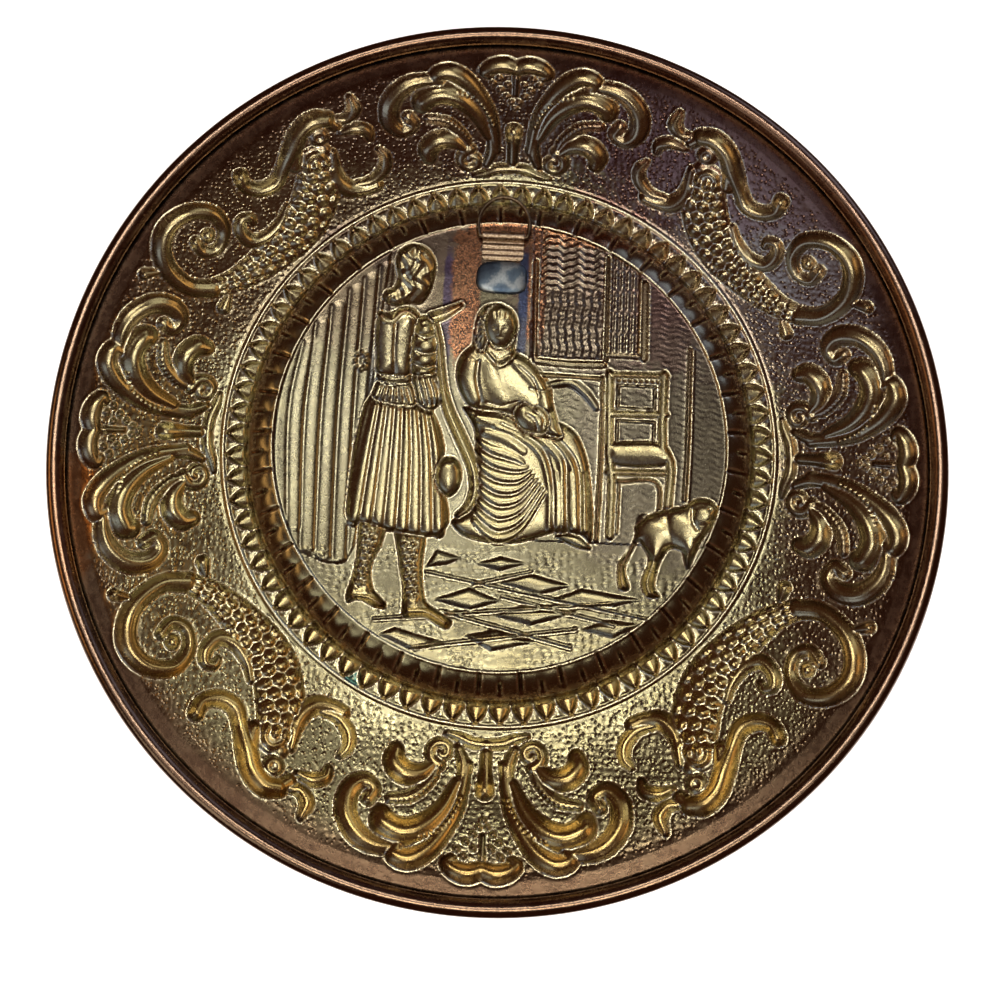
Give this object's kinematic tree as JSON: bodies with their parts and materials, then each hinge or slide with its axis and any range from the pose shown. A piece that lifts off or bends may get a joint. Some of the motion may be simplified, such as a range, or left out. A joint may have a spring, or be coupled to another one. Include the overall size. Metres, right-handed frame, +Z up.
{
  "type": "pressed brass wall plate with relief",
  "caption": "Round pressed brass wall plate, relief medallion and scrolled border, wire hanging ring in a soldered strap on its back.",
  "frame": {"origin": "where a wall hook bears inside the top of the hanging ring's arc, at the middle of the wire", "axes": "+Z up as the plate hangs, +Y out of the display side into the room, -Y out of the back, which the picture shows, +X to the right seen from the back"},
  "size_m": [0.36, 0.0233, 0.3599],
  "materials": {
    "pressed_brass": "old pressed brass with brown and purple tarnish",
    "wire_brass": "darkened drawn brass wire",
    "strap_brass": "coppery heated brass strip",
    "solder_grey": "dull grey soft solder"
  },
  "bodies": {
    "plate_body": {"plate": "pressed_brass", "ring_strap": "strap_brass", "solder": "solder_grey"},
    "ring_body": {"hanging_ring": "wire_brass"}
  },
  "joints": [
    {"name": "ring_swing", "type": "hinge", "parent": "plate_body", "child": "ring_body", "pos_m": [0, 0, -0.0155], "axis": [1, 0, 0], "range_deg": [-6, 168]}
  ]
}
